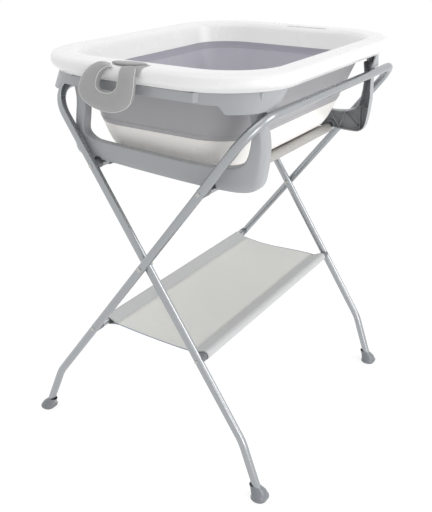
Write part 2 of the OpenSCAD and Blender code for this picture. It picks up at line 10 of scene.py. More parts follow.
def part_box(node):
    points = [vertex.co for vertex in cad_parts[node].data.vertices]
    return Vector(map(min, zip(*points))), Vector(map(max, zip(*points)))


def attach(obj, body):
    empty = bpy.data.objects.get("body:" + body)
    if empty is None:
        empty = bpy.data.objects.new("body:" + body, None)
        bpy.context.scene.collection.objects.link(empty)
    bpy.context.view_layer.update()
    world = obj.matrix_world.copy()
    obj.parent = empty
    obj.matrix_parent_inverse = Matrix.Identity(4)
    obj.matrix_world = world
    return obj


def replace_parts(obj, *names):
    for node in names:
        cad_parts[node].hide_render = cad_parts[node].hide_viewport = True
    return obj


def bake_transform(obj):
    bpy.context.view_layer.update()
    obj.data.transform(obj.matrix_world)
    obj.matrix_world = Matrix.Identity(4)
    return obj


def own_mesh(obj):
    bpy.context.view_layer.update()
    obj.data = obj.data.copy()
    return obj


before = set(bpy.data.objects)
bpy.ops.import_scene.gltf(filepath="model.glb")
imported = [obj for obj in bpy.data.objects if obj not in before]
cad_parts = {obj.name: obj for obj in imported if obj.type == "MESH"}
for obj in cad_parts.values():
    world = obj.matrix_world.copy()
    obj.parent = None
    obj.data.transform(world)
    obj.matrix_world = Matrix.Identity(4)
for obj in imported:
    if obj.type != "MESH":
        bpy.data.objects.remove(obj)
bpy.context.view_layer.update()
MM = 0.001

# ---- Camera and room ----
# The camera looks down on the near end's front corner from a standing person's
# chest height. The room is white: a pale floor, three soft lamps and a plain sky.
yaw, pitch = math.radians(35.415), math.radians(28.084)
ahead = Vector((math.cos(yaw) * math.cos(pitch), math.sin(yaw) * math.cos(pitch),
                -math.sin(pitch)))
right = Vector((math.sin(yaw), -math.cos(yaw), 0))
camera = bpy.data.objects.new("camera", bpy.data.cameras.new("camera"))
camera.matrix_world = (Matrix.Translation((-1.4296, -0.7975, 1.146))
                       @ Matrix((right, right.cross(ahead), -ahead)).transposed().to_4x4())
camera.data.sensor_width = 36
camera.data.lens = 48.668
camera.data.shift_x, camera.data.shift_y = 0.1248, 0.0811
bpy.context.scene.collection.objects.link(camera)
bpy.context.scene.camera = camera
bpy.context.scene.view_settings.view_transform = "Standard"


def srgb(code):
    """Linear colour of an sRGB hex code: ((c + 0.055) / 1.055) ** 2.4, or c / 12.92 near black."""
    c = np.array([int(code[i:i + 2], 16) / 255 for i in (1, 3, 5)])
    return (*np.where(c > 0.04045, ((c + 0.055) / 1.055) ** 2.4, c / 12.92), 1.0)


def add(tree, kind, links=None, **settings):
    """Adds one shader node. Settings name its properties or its sockets, and links maps a
    socket's name or number to the node and output that feed it."""
    made = tree.nodes.new(kind)
    for key, value in settings.items():
        if hasattr(made, key):
            setattr(made, key, value)
        else:
            made.inputs[key.replace("_", " ")].default_value = value
    for key, (source, output) in (links or {}).items():
        tree.links.new(source.outputs[output], made.inputs[key])
    return made


def tree_of(owner):
    """The emptied node tree of a material or world."""
    owner.use_nodes = True
    owner.node_tree.nodes.clear()
    return owner.node_tree


def direct_rays(tree):
    """1 for what the camera sees, straight or by way of a polished or clear surface, else 0."""
    path = add(tree, "ShaderNodeLightPath")
    seen = add(tree, "ShaderNodeMath", {0: (path, "Is Camera Ray"), 1: (path, "Is Glossy Ray")},
               operation="MAXIMUM")
    return add(tree, "ShaderNodeMath", {0: (seen, 0), 1: (path, "Is Transmission Ray")},
               operation="MAXIMUM")


sky = bpy.context.scene.world or bpy.data.worlds.new("sky")
bpy.context.scene.world = sky
tree = tree_of(sky)
dim = add(tree, "ShaderNodeBackground", Color=srgb("#FFFFFF"), Strength=0.70)
bright = add(tree, "ShaderNodeBackground", Color=srgb("#FFFFFF"), Strength=1.0)
mixed = add(tree, "ShaderNodeMixShader", {0: (direct_rays(tree), 0), 1: (dim, 0), 2: (bright, 0)})
add(tree, "ShaderNodeOutputWorld", {0: (mixed, 0)})

# Painted floor: it takes a soft shadow, and the open part of it is white
paint = bpy.data.materials.new("white_floor_paint")
tree = tree_of(paint)
bounce = add(tree, "ShaderNodeBsdfDiffuse", Color=srgb("#FFFFFF"))
shade = add(tree, "ShaderNodeBsdfDiffuse", Color=srgb("#9A9A9A"))
glow = add(tree, "ShaderNodeEmission", Color=srgb("#FFFFFF"), Strength=0.78)
lit = add(tree, "ShaderNodeAddShader", {0: (shade, 0), 1: (glow, 0)})
mixed = add(tree, "ShaderNodeMixShader", {0: (direct_rays(tree), 0), 1: (bounce, 0), 2: (lit, 0)})
add(tree, "ShaderNodeOutputMaterial", {0: (mixed, 0)})
floor_mesh = bpy.data.meshes.new("floor")
floor_mesh.from_pydata([(x, y, 0) for x, y in ((-9, -9), (9, -9), (9, 9), (-9, 9))], [],
                       [(0, 1, 2, 3)])
floor_mesh.materials.append(paint)
floor = bpy.data.objects.new("floor", floor_mesh)
bpy.context.scene.collection.objects.link(floor)

for name, place, size, power in (("key", (1.3, -2.7, 1.7), 1.5, 23),
                                 ("fill", (-0.7, -2.5, 0.5), 1.1, 11),
                                 ("top", (-0.6, 0.2, 3.2), 2.0, 12)):
    lamp = bpy.data.objects.new(name, bpy.data.lights.new(name, "AREA"))
    lamp.data.shape = "SQUARE"
    lamp.data.size = size
    lamp.data.energy = power
    lamp.location = place
    lamp.rotation_euler = (Vector((0, 0, 0.6)) - Vector(place)).to_track_quat("-Z", "Y").to_euler()
    bpy.context.scene.collection.objects.link(lamp)


# ---- Stand tubes ----
# Two bent frames of 19 mm steel tube with cross bars, powder coated in a silver that
# has fine flake in it, so it gives soft bright streaks and slightly uneven gloss.
def finish(name, colour, second, rough, metal=0.0, grain=1.2, grit=0.3, depth=0.04,
           **shader):
    """A surface of two close colours that drift over 25 grains, a gloss that varies with them,
    and a bump of one grain. Grain is in millimetres, depth is the bump's height in millimetres."""
    made = bpy.data.materials.new(name)
    tree = tree_of(made)
    place = add(tree, "ShaderNodeTexCoord")
    drift = add(tree, "ShaderNodeTexNoise", {"Vector": (place, "Object")},
                Scale=1 / (25 * grain * MM), Detail=3.0)
    fine = add(tree, "ShaderNodeTexNoise", {"Vector": (place, "Object")},
               Scale=1 / (grain * MM), Detail=2.0)
    blend = add(tree, "ShaderNodeMix", {"Factor": (drift, 0)}, data_type="RGBA")
    blend.inputs["A"].default_value = srgb(colour)
    blend.inputs["B"].default_value = srgb(second)
    gloss = add(tree, "ShaderNodeMapRange", {0: (drift, 0)})
    gloss.inputs["To Min"].default_value = rough * (1 - grit)
    gloss.inputs["To Max"].default_value = rough * (1 + grit)
    bump = add(tree, "ShaderNodeBump", {"Height": (fine, 0)}, Strength=1.0, Distance=depth * MM)
    body = add(tree, "ShaderNodeBsdfPrincipled",
               {"Base Color": (blend, "Result"), "Roughness": (gloss, 0), "Normal": (bump, 0)},
               Metallic=metal, **shader)
    add(tree, "ShaderNodeOutputMaterial", {0: (body, 0)})
    return made


def dress(material, *nodes):
    """Gives CAD nodes a material in every slot that they have."""
    for name in nodes:
        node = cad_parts[name]
        if not node.material_slots:
            node.data.materials.append(material)
        for place in node.material_slots:
            place.material = material


silver = finish("silver_powder_coat", "#A3A6A9", "#ABAEB1", 0.27, metal=0.85, grain=3.0,
                depth=0.002)
dress(silver, *[f"{side}_{part}" for side in ("outer", "inner")
                for part in ("top_bar", "leg_left", "leg_right", "sling_bar", "shelf_bar",
                             "splices")])

# ---- Stand fittings ----
# Zinc-plated rivets and pivot bolts, and dark nylon saddles and washers, straight from
# the mould: the metal is bright and crisp, the nylon has a fine even grain.
zinc = finish("zinc_plated_steel", "#C2C2BF", "#ADADAA", 0.28, metal=1.0, grain=0.5, depth=0.01)
nylon = finish("moulded_nylon", "#6E7276", "#777B80", 0.42, grain=0.8)
dress(zinc, "outer_rivets", "inner_rivets", "pivot_bolts", "skirt_screws", "leg_pins_left",
      "leg_pins_right")
dress(nylon, "outer_bar_ends", "inner_bar_ends", "pivot_spacers")


# ---- Feet ----
# Hoof-shaped feet of glossy grey nylon, each with a flat flange on the floor and a
# socket that leans with the leg. A blind rivet holds the leg in its socket.
def rings(rows, corner=16, side=6):
    """One rounded rectangle for each row of (half length, half width, corner radius, height,
    x shift, y shift): a corner's point is the corner's centre plus the radius turned by an
    angle, and along a straight the centre moves while the angle stays."""
    rows = np.asarray(rows, float)
    turn, sx, sy = [], [], []
    signs = ((1, 1), (-1, 1), (-1, -1), (1, -1))
    for k in range(4):
        here, there = np.array(signs[k]), np.array(signs[(k + 1) % 4])
        turn.append(np.linspace(k, k + 1, corner + 1))
        along = np.linspace(0, 1, side + 1)[1:-1]
        turn.append(np.full(len(along), k + 1.0))
        step = np.vstack([np.tile(here, (corner + 1, 1)),
                          here + (there - here) * along[:, None]])
        sx.append(step[:, 0])
        sy.append(step[:, 1])
    turn = np.concatenate(turn) * math.pi / 2
    sx, sy = np.concatenate(sx), np.concatenate(sy)
    hx, hy, r, z, dx, dy = rows.T[:, :, None]
    return np.stack([dx + sx * (hx - r) + r * np.cos(turn),
                     dy + sy * (hy - r) + r * np.sin(turn), z + 0 * turn], -1)


def eased(corners, steps=6, closed=True):
    """Rounds a profile's corners. The last column says how far a corner's curve reaches, and
    the curve is the quadratic (1-t)^2 before + 2t(1-t) corner + t^2 after."""
    corners = np.asarray(corners, float)
    p, reach = corners[:, :-1], corners[:, -1:]
    t = np.linspace(0, 1, steps + 1)[:, None]
    out = []
    for towards in (np.roll(p, 1, 0), np.roll(p, -1, 0)):
        gap = towards - p
        span = np.hypot(np.hypot(gap[:, 0], gap[:, 3]), gap[:, 4])[:, None]
        out.append(p + gap * np.minimum(0.49, reach / np.maximum(span, 1e-9)))
    curve = ((1 - t) ** 2 * out[0][:, None] + 2 * t * (1 - t) * p[:, None]
             + t ** 2 * out[1][:, None])
    if not closed:
        curve[0], curve[-1] = p[0], p[-1]
    return curve.reshape(-1, p.shape[1])


def quads(rows, cols, wrap_rows=False, wrap_cols=False):
    """The four-sided faces between a grid's points, joined end to end where it wraps."""
    i, j = np.meshgrid(np.arange(rows - (not wrap_rows)), np.arange(cols - (not wrap_cols)),
                       indexing="ij")
    below, beside = (i + 1) % rows, (j + 1) % cols
    return np.stack([i * cols + j, i * cols + beside, below * cols + beside, below * cols + j],
                    -1).reshape(-1, 4)


def piece(name, points, faces, material, body=None, slot=None, closed=True, weld=None):
    """A smooth-shaded mesh object from points in metres. On a closed shell, the faces are
    turned round if the volume that they enclose, the sum of a . (b x c) / 6, is negative."""
    points = np.asarray(points, float).reshape(-1, 3)
    mesh = bpy.data.meshes.new(name)
    mesh.from_pydata(points.tolist(), [], [list(f) for f in faces])
    made = bpy.data.objects.new(name, mesh)
    bpy.context.scene.collection.objects.link(made)
    work = bmesh.new()
    work.from_mesh(mesh)
    if weld:
        bmesh.ops.remove_doubles(work, verts=work.verts, dist=weld)
    if closed and work.calc_volume(signed=True) < 0:
        bmesh.ops.reverse_faces(work, faces=work.faces)
    work.to_mesh(mesh)
    work.free()
    mesh.shade_smooth()
    for each in (material if isinstance(material, (list, tuple)) else [material]):
        mesh.materials.append(each)
    if body:
        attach(made, body)
    return made


def capped(points):
    """Faces of a tube of rings whose first and last ring are each closed by one face."""
    rows, cols = points.shape[:2]
    return [*quads(rows, cols, wrap_cols=True), np.arange(cols),
            np.arange(cols) + (rows - 1) * cols]


def even_shading(made):
    """Lets big faces set the shading of the small rounded ones beside them."""
    made.modifiers.new("even_shading", "WEIGHTED_NORMAL").keep_sharp = True
    return made


foot_gloss = finish("glossy_foot_nylon", "#7E8287", "#868A8F", 0.24, grain=2.0, depth=0.02)
heel_in = 21 * MM
for body, node, side in (("outer_frame", "outer_foot_left", 1),
                         ("outer_frame", "outer_foot_right", 1),
                         ("inner_frame", "inner_foot_left", -1),
                         ("inner_frame", "inner_foot_right", -1)):
    low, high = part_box(node)
    middle = (low.x + high.x) / 2
    heel = (low.y if side > 0 else high.y) + side * heel_in
    profile = eased([(2, 2, 2, 0.2, 0, 3, 0.4), (21.5, 17.5, 16.5, 0.2, 0, 3, 1.5),
                     (23.5, 19, 18, 3, 0, 3, 2), (23, 18.6, 17.6, 6.5, 0, 3, 1.2),
                     (21.5, 17, 16, 8, 0, 2.5, 1), (20.5, 16, 15.5, 15, 0, 0, 4),
                     (15, 14, 13.6, 23, 0, -6, 4), (12, 12.8, 11.8, 29, 0, -11, 2),
                     (11.4, 12.2, 11.2, 31.4, 0, -12.6, 0.8),
                     (9.9, 10.7, 9.8, 31.6, 0, -12.8, 0.6), (9.9, 10.7, 9.8, 12, 0, -5, 0.6),
                     (1, 1, 1, 11.8, 0, -4.9, 0.3)], closed=False)
    hoof = rings(profile * MM, corner=12, side=4)
    hoof[..., 1] *= side
    hoof += (middle, heel, 0)
    made = piece(node + "_hoof", hoof, capped(hoof), foot_gloss, body, "foot_plastic")
    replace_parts(made, node)

# ---- Bath rim ----
# One blow-moulded ring of glossy white polypropylene: a pillow-shaped crown with a lip
# outside and a rigid wall inside, so it has broad soft highlights and no sharp edge.
tub_x = sum(v.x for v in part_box("tub_rim")) / 2
rim_white = finish("gloss_white_polypropylene", "#F6F6F6", "#F8F8F8", 0.26, grain=3.0,
                   depth=0.012)
rim_rows = eased([(372, 261, 158, 893, 0, 0, 0.6), (387.4, 276.4, 173.4, 906, 0, 0, 7),
                  (386, 275, 172, 925.4, 0, 0, 17), (350, 246, 140, 926.4, 0, 0, 12),
                  (316, 225, 107, 925.2, 0, 0, 15), (311, 219, 104, 898, 0, 0, 8),
                  (307, 214, 103, 880, 0, 0, 0.8), (310.5, 217.5, 106.5, 880, 0, 0, 0.8),
                  (319, 228, 110, 921, 0, 0, 6), (367, 256, 153, 921.4, 0, 0, 10),
                  (383.6, 272.6, 169.6, 906, 0, 0, 6), (368.6, 257.6, 154.6, 893, 0, 0, 0.6)])
rim = rings(rim_rows * MM, corner=40, side=24)
rim[..., 0] += tub_x
made = piece("bath_rim", rim, quads(*rim.shape[:2], True, True), rim_white, "tub",
             "rim_plastic")
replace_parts(even_shading(made), "tub_rim")
dress(rim_white, "rim_plate")


# ---- End skirts and tub legs ----
# Injection-moulded grey ABS. A skirt hides each end's hinges, and the leg under it is
# an open board with ribs on its inside; all their edges have a small moulded round.
def softened(node, width, body, material):
    """A copy of a CAD node whose doubled points are merged, whose flat faces are joined, and
    whose edges sharper than 30 degrees are rounded by a width in millimetres."""
    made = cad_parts[node].copy()
    made.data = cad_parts[node].data.copy()
    made.name = node + "_moulding"
    for key in list(made.keys()):
        if key.startswith("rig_"):
            del made[key]
    made.parent = None
    bpy.context.scene.collection.objects.link(made)
    work = bmesh.new()
    work.from_mesh(made.data)
    bmesh.ops.remove_doubles(work, verts=work.verts, dist=0.02 * MM)
    bmesh.ops.dissolve_limit(work, angle_limit=math.radians(0.6), verts=work.verts,
                             edges=work.edges)
    work.to_mesh(made.data)
    work.free()
    made.data.shade_smooth()
    made.data.materials.clear()
    made.data.materials.append(material)
    bevel = made.modifiers.new("moulded_round", "BEVEL")
    bevel.width = width * MM
    bevel.segments = 3
    bevel.limit_method = "ANGLE"
    bevel.angle_limit = math.radians(30)
    bevel.harden_normals = False
    even_shading(made)
    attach(made, body)
    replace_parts(made, node)
    return made


abs_grey = finish("moulded_grey_abs", "#ABADB0", "#B0B2B5", 0.33, grain=2.5, depth=0.01)
for end in ("left", "right"):
    softened("end_skirt_" + end, 0.8, "tub", abs_grey)


def through(points, count):
    """An even curve through points, by arc length: cubic pieces whose slope at each point is
    that of the line between its two neighbours."""
    p = np.asarray(points, float)
    ends = np.vstack([2 * p[0] - p[1], p, 2 * p[-1] - p[-2]])
    t = np.linspace(0, 1, 40)[:-1, None]
    a, b, c, d = (ends[k:len(ends) - 3 + k, None] for k in range(4))
    fine = (b + t * (c - a) / 2 + t ** 2 * (a - 2.5 * b + 2 * c - d / 2)
            + t ** 3 * (1.5 * (b - c) + (d - a) / 2)).reshape(-1, p.shape[1])
    fine = np.vstack([fine, p[-1]])
    run = np.concatenate([[0], np.cumsum(np.linalg.norm(np.diff(fine, axis=0), axis=1))])
    at = np.linspace(0, run[-1], count)
    return np.stack([np.interp(at, run, fine[:, k]) for k in range(p.shape[1])], -1)


# The board as pairs of points, (y, z) on its inner edge and on its outer edge, from the
# top of its back arm down to its cross piece and up its front arm
leg_edges = through([(182, 866, 204, 866), (173, 846, 198, 846), (169, 826, 196, 826),
                     (172, 795, 199.5, 795), (176, 772, 203, 765), (174.5, 763, 204.5, 735),
                     (166, 756, 200, 719), (150, 751, 186, 710), (128, 748.5, 160, 708),
                     (96, 747, 110, 706), (30, 745, 30, 702), (-70, 742, -70, 698.5),
                     (-140, 742, -146, 697.5), (-176, 745, -200, 698.5),
                     (-197, 751.5, -226, 703), (-211, 761, -239, 715), (-218, 778, -244, 740),
                     (-221.5, 807, -245.5, 785), (-220, 833, -240, 826),
                     (-213, 866, -233, 866)], 420)
inner_line, outer_line = leg_edges[:, :2], leg_edges[:, 2:].copy()
hinge_z = sum(v.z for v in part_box("leg_pins_left")) / 2 / MM
# Arched notches in its lower edge straddle the two sling bars
notch_r, arm_z = 13.4, 720
sling_low, sling_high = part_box("outer_sling_bar")
notch_y = abs(sling_low.y + sling_high.y) / 2 / MM
notch_z = (sling_low.z + sling_high.z) / 2 / MM
for y in (-notch_y, notch_y):
    gap = notch_r ** 2 - (outer_line[:, 0] - y) ** 2
    arch = notch_z + np.sqrt(np.maximum(gap, 0))
    outer_line[:, 1] = np.where((gap > 0) & (outer_line[:, 1] < arm_z),
                                np.maximum(outer_line[:, 1], arch), outer_line[:, 1])
span = outer_line - inner_line
width = np.linalg.norm(span, axis=1)[:, None]
span /= width
# Its section is a channel: (share of the width, distance, 0, depth, 0), open at the back
nominal, wall = 45.0, 2.5
channel = np.array([(0, 0, 30, 0.5), (0, 0, 0, 5), (1, 0, 0, 18), (1, 0, 30, 0.5),
                    (1, -wall, 30, 0.5), (1, -wall, wall, 15.5), (0, wall, wall, 3.5),
                    (0, wall, 30, 0.5)])
channel = eased(np.stack([channel[:, 0] * nominal + channel[:, 1], channel[:, 0], channel[:, 1],
                          channel[:, 2], 0 * channel[:, 0], channel[:, 3]], -1))
# It is half as deep in the cross piece as it is in the arms
deep = (0.5 + 0.5 * np.clip((np.abs(inner_line[:, :1]) - 140) / 50, 0, 1)) * channel[:, 3]
offset = channel[:, 1] * width + channel[:, 2]
board = np.stack([deep, inner_line[:, :1] + span[:, :1] * offset,
                  inner_line[:, 1:] + span[:, 1:] * offset], -1)


def rounded_corner(points):
    """The front arm curves back round the bath's corner, but not up at the hinge: x gains
    14 * a ** 2 * b, where a goes 0 to 1 over 55 mm of y and b over 60 mm under the hinge."""
    a = np.clip((-points[..., 1] - 190) / 55, 0, 1)
    b = np.clip((hinge_z - points[..., 2]) / 60, 0, 1)
    return points + np.stack([14 * a ** 2 * b, 0 * a, 0 * a], -1)


def ribs(count, thick, inset, near):
    """Zigzag plates across the channel, from a depth near to 14 mm deep, or 22 mm in the arms:
    rib k runs from one wall at place k to the other at place k + 1, an inset short of both.
    The places are even along the board, and clear of the knuckles at its two ends."""
    first, last = 18, len(inner_line) - 60
    k = np.linspace(first, last, count + 1).astype(int)
    walls = np.stack([inner_line + inset * span, outer_line - inset * span])
    odd = np.arange(count) % 2
    a, b = walls[1 - odd, k[:-1]], walls[odd, k[1:]]
    along = (b - a) / np.linalg.norm(b - a, axis=1)[:, None]
    side = np.stack([-along[:, 1], along[:, 0]], -1) * thick / 2
    corner = np.stack([a - side, b - side, b + side, a + side], 1)
    far = 14 + 8 * np.clip((np.abs(corner[..., 0]) - 150) / 40, 0, 1)
    box = np.concatenate([np.dstack([x, corner]) for x in (0 * far + near, far)], 1)
    sides = [(0, 3, 2, 1), (4, 5, 6, 7), (0, 1, 5, 4), (1, 2, 6, 5), (2, 3, 7, 6), (3, 0, 4, 7)]
    faces = np.arange(count)[:, None, None] * 8 + np.array(sides)
    return box.reshape(-1, 3), faces.reshape(-1, 4)


rib_points, rib_faces = ribs(count=22, thick=1.8, inset=4.2, near=7.5)
# A round knuckle in each arm's channel, where the hinge pin goes through
knuckle_r, knuckle_long, knuckle_deep = 9, 9, 11
a = np.linspace(0, 2 * math.pi, 41)[:-1]
disc = np.stack([knuckle_deep + knuckle_r * np.cos(a), 0 * a, hinge_z + knuckle_r * np.sin(a)], -1)
knuckles = [np.stack([disc + (0, y, 0), disc + (0, y + knuckle_long, 0)]) for y in (-232, 196)]


def joined(shapes):
    """One array of points and one list of faces, from several pairs of points and faces."""
    points, faces, count = [], [], 0
    for shape, sides in shapes:
        faces += [np.asarray(f) + count for f in sides]
        points.append(shape.reshape(-1, 3))
        count += len(points[-1])
    return np.vstack(points), faces


for end, leg, way in (("left", "near_leg", 1), ("right", "far_leg", -1)):
    face_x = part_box("tub_leg_" + end)[0 if way > 0 else 1].x / MM
    points, faces = joined([(rounded_corner(board), capped(board)),
                            (rounded_corner(rib_points), rib_faces),
                            *[(knuckle, capped(knuckle)) for knuckle in knuckles]])
    points = points * (way, 1, 1) + (face_x, 0, 0)
    made = piece(f"{leg}_board", points * MM, faces, abs_grey, leg, "grey_plastic",
                 closed=False)
    work = bmesh.new()
    work.from_mesh(made.data)
    bmesh.ops.recalc_face_normals(work, faces=work.faces)
    work.to_mesh(made.data)
    work.free()
    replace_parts(even_shading(made), "tub_leg_" + end)
rubber = finish("moulded_rubber", "#55575A", "#5C5E61", 0.55, grain=0.8)
dress(rubber, "leg_grips_left", "leg_grips_right")

# ---- Collapsible band ----
# A soft ring of grey TPE between the rim and the bottom, which folds on itself when the
# bath is pushed flat. Its hinge lines show as low beads near the top and the bottom.
band_top, band_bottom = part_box("collapsible_band")[1].z / MM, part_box("collapsible_band")[0].z / MM
height = np.linspace(band_top, band_bottom, 56)
share = ((band_top - height) / (band_top - band_bottom))[:, None]
wide_end, narrow_end = (309.5, 216.5, 105, 0, 0, 0), (285.5, 183.5, 92, 0, 0, 0)
wall = (1 - share) * wide_end + share * narrow_end
wall[:, 3] = height


def beads(*lines):
    """How far the wall stands out: the sum of height * exp(-((z - place) / width) ** 2)."""
    return sum(h * np.exp(-((height - band_top + z) / w) ** 2) for z, h, w in lines)


def pushed(rows, out):
    """The rows with their walls moved out by so many millimetres."""
    moved = rows.copy()
    moved[:, :3] += np.asarray(out)[:, None]
    return moved


tpe = finish("soft_grey_tpe", "#A8A7AA", "#ADACAF", 0.42, grain=1.5, depth=0.03)
tpe_inside = finish("soft_lilac_grey_tpe", "#B4B3BE", "#B9B8C2", 0.42, grain=1.5, depth=0.03)
# A darker tone of the same TPE: painted shade for the collar under the rim
tpe_painted_shade = finish("lilac_grey_tpe_painted_shade", "#A09FAB", "#A5A4AF", 0.45, grain=1.5, depth=0.03)
band_thick = 2.6
outer = pushed(wall, beads((8, 0.8, 2), (84, -1.2, 1.2), (88, 0.9, 2.4)))
inner = pushed(wall, -band_thick + beads((13, -1.3, 1.6), (84, -0.6, 2)))[::-1]
band = rings(np.vstack([outer, inner]) * MM, corner=32, side=20)
band[..., 0] += tub_x
made = piece("folding_band", band, quads(*band.shape[:2], True, True),
             [tpe, tpe_inside, tpe_painted_shade], "tub", "band_rubber")
# Its inner face has a lilac cast, and the collar under the rim is painted darker: painted shade from
# the rim above it
shaded_collar_rows = 8
row = np.arange(len(made.data.polygons)) // band.shape[1]
inside = (row >= len(height)) & (row < 2 * len(height) - 1)
painted_shade_mask = row >= 2 * len(height) - 1 - shaded_collar_rows
made.data.polygons.foreach_set("material_index", inside * 1 + (inside & painted_shade_mask) * 1)
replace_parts(made, "collapsible_band")
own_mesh(made)

# ---- Bath bottom ----
# A rigid tray of warm white polypropylene with a big round under its sides, and a drain
# with a grey ring and a darker plug near one end.
shell_white = finish("warm_white_polypropylene", "#FAF7F3", "#FBF9F5", 0.3, grain=3.0,
                     depth=0.012)
top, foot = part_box("tub_bottom")[1].z / MM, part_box("tub_bottom")[0].z / MM
drain = ((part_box("drain_ring")[0].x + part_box("drain_ring")[1].x) / 2 - tub_x) / MM
shell_rows = eased([(285.5, 183.5, 92, top, 0, 0, 0.8), (269.5, 167.5, 84, top - 44, 0, 0, 14),
                    (255, 150, 75, foot, 0, 0, 26), (60, 45, 35, foot, drain * 0.8, 0, 2),
                    (21, 21, 21, foot, drain, 0, 0.4), (21, 21, 21, foot + 3, drain, 0, 0.4),
                    (60, 45, 35, foot + 3, drain * 0.8, 0, 2), (251, 146, 72, foot + 3, 0, 0, 24),
                    (266.5, 164.5, 81, top - 44, 0, 0, 14), (282.5, 180.5, 89, top, 0, 0, 0.8)])
shell = rings(shell_rows * MM, corner=32, side=20)
shell[..., 0] += tub_x
made = piece("bath_bottom", shell, quads(*shell.shape[:2], True, True), shell_white,
             "tub_floor", "rim_plastic")
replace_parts(even_shading(made), "tub_bottom")
dress(abs_grey, "drain_ring")
dress(nylon, "drain_plug")


# ---- Shelf and sling ----
# Light woven nylon, sewn into a sleeve round the bar on each side. The shelf has narrow
# bound ends and keeps faint creases from its box; the sling under the bath is slacker.
def woven(name, colour, second, thread=1.1, rough=0.7, clear=0.0):
    """Plain weave on the UV map, which is in metres: two square waves of thread spacing make
    the bump, and a slow noise makes the colour drift. Real threads are 0.3 mm apart; they are
    drawn coarser to show. A wave texture repeats every 0.314 / scale."""
    made = bpy.data.materials.new(name)
    tree = tree_of(made)
    place = add(tree, "ShaderNodeTexCoord")
    wave = [add(tree, "ShaderNodeTexWave", {"Vector": (place, "UV")}, bands_direction=way,
                Scale=0.314 / (thread * MM), Distortion=0.6) for way in "XY"]
    cross = add(tree, "ShaderNodeMath", {0: (wave[0], "Fac"), 1: (wave[1], "Fac")},
                operation="MULTIPLY")
    drift = add(tree, "ShaderNodeTexNoise", {"Vector": (place, "UV")}, Scale=9.0, Detail=4.0)
    patchy = add(tree, "ShaderNodeMath", {0: (drift, 0), 1: (cross, 0)}, operation="MULTIPLY")
    blend = add(tree, "ShaderNodeMix", {"Factor": (patchy, 0)}, data_type="RGBA")
    blend.inputs["A"].default_value = srgb(colour)
    blend.inputs["B"].default_value = srgb(second)
    bump = add(tree, "ShaderNodeBump", {"Height": (cross, 0)}, Strength=0.6, Distance=0.15 * MM)
    body = add(tree, "ShaderNodeBsdfPrincipled", {"Base Color": (blend, "Result"),
               "Normal": (bump, 0)}, Roughness=rough, Sheen_Weight=0.25, Sheen_Roughness=0.4)
    out = body
    if clear:
        thin = add(tree, "ShaderNodeBsdfTranslucent", Color=srgb(colour))
        out = add(tree, "ShaderNodeMixShader", {1: (body, 0), 2: (thin, 0)})
        out.inputs[0].default_value = clear
    add(tree, "ShaderNodeOutputMaterial", {0: (out, 0)})
    return made


def bar_sheet(x0, x1, bar_y, bar_z, sag, hem, slack, columns=170):
    """A cloth between two bars, as points on a grid of (x, distance along the cloth). Across,
    it runs from its sewn edge round one bar, down the web z = -sag (1 - (y / half)^2), and
    round the other bar. It sags less at its ends, the seams beside the bars pucker, and the
    web has waves, the slack's a sin(px x + py y + ph), and sharp creases across it."""
    ring_r = 10.6
    tip = math.acos(ring_r / hem)
    around = np.linspace(math.pi + tip, 3 * math.pi - tip, 26)
    half = bar_y - hem
    web_y = np.linspace(half, -half, 84)[1:-1]
    loop_y = np.concatenate([[half - 7, half - 1], bar_y + ring_r * np.cos(around), [half + 2]])
    loop_z = np.concatenate([[-2.6, -2.2], ring_r * np.sin(around), [1.0]])
    y = np.concatenate([loop_y, web_y, -loop_y[::-1]])
    rise = np.concatenate([loop_z, 0 * web_y, loop_z[::-1]])
    flat = np.clip(1 - (y / half) ** 2, 0, 1)
    on_web = np.zeros(len(y))
    on_web[len(loop_y):-len(loop_y)] = 1
    u = np.linspace(0, 1, columns)[:, None]
    pull = 0.45 + 0.55 * np.sin(math.pi * np.clip(u * 0.9 + 0.1, 0, 1)) ** 0.7
    bow = 4 * flat * on_web
    x = (x0 + bow) * (1 - u) + (x1 - bow * 0.4) * u
    ripple = sum(a * np.sin(px * x / 1000 + py * y / 1000 + ph) for a, px, py, ph in slack)
    crease = sum(h * np.exp(-((u - place) * (x1 - x0) / 2.6) ** 2)
                 for place, h in ((0.05, 1.2), (0.1, -1.1), (0.16, 1.0), (0.24, 0.7),
                                  (0.8, 0.8), (0.86, 1.2), (0.9, -1.2), (0.945, 1.2)))
    seam = -0.9 * np.exp(-((np.abs(y) - half) / 1.8) ** 2)
    pucker = 0.5 * np.exp(-((np.abs(y) - half) / 5) ** 2) * np.sin(x / 3.7 + np.sin(x / 31))
    z = (bar_z + rise - sag * flat * pull + seam + pucker
         + on_web * (flat ** 0.5 * ripple + crease * flat ** 0.3))
    points = np.stack([x + 0 * z, y + 0 * z, z], -1) * MM
    across = np.linalg.norm(np.diff(points[columns // 2], axis=0), axis=1)
    along = np.concatenate([[0], np.cumsum(across)])
    uv = np.stack([x / 1000 + 0 * z, np.tile(along, (columns, 1))], -1)
    return points, uv, len(loop_y)


def cloth_piece(name, points, uv, material, slot, thick, edge):
    """A sheet with its UV map, given a thickness. Its second material is for the
    doubled cloth of the two sleeves, edge columns each."""
    made = piece(name, points, quads(*points.shape[:2]), material, None, slot, closed=False)
    column = np.arange(len(made.data.polygons)) % (points.shape[1] - 1)
    doubled = (column < edge) | (column >= points.shape[1] - 1 - edge)
    made.data.polygons.foreach_set("material_index", doubled.astype(np.int32))
    layer = made.data.uv_layers.new(name="cut")
    corner = np.zeros(len(made.data.loops), int)
    made.data.loops.foreach_get("vertex_index", corner)
    layer.data.foreach_set("uv", uv.reshape(-1, 2)[corner].ravel())
    solid = made.modifiers.new("cloth_thickness", "SOLIDIFY")
    solid.thickness = thick * MM
    solid.offset = 0
    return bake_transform(made)


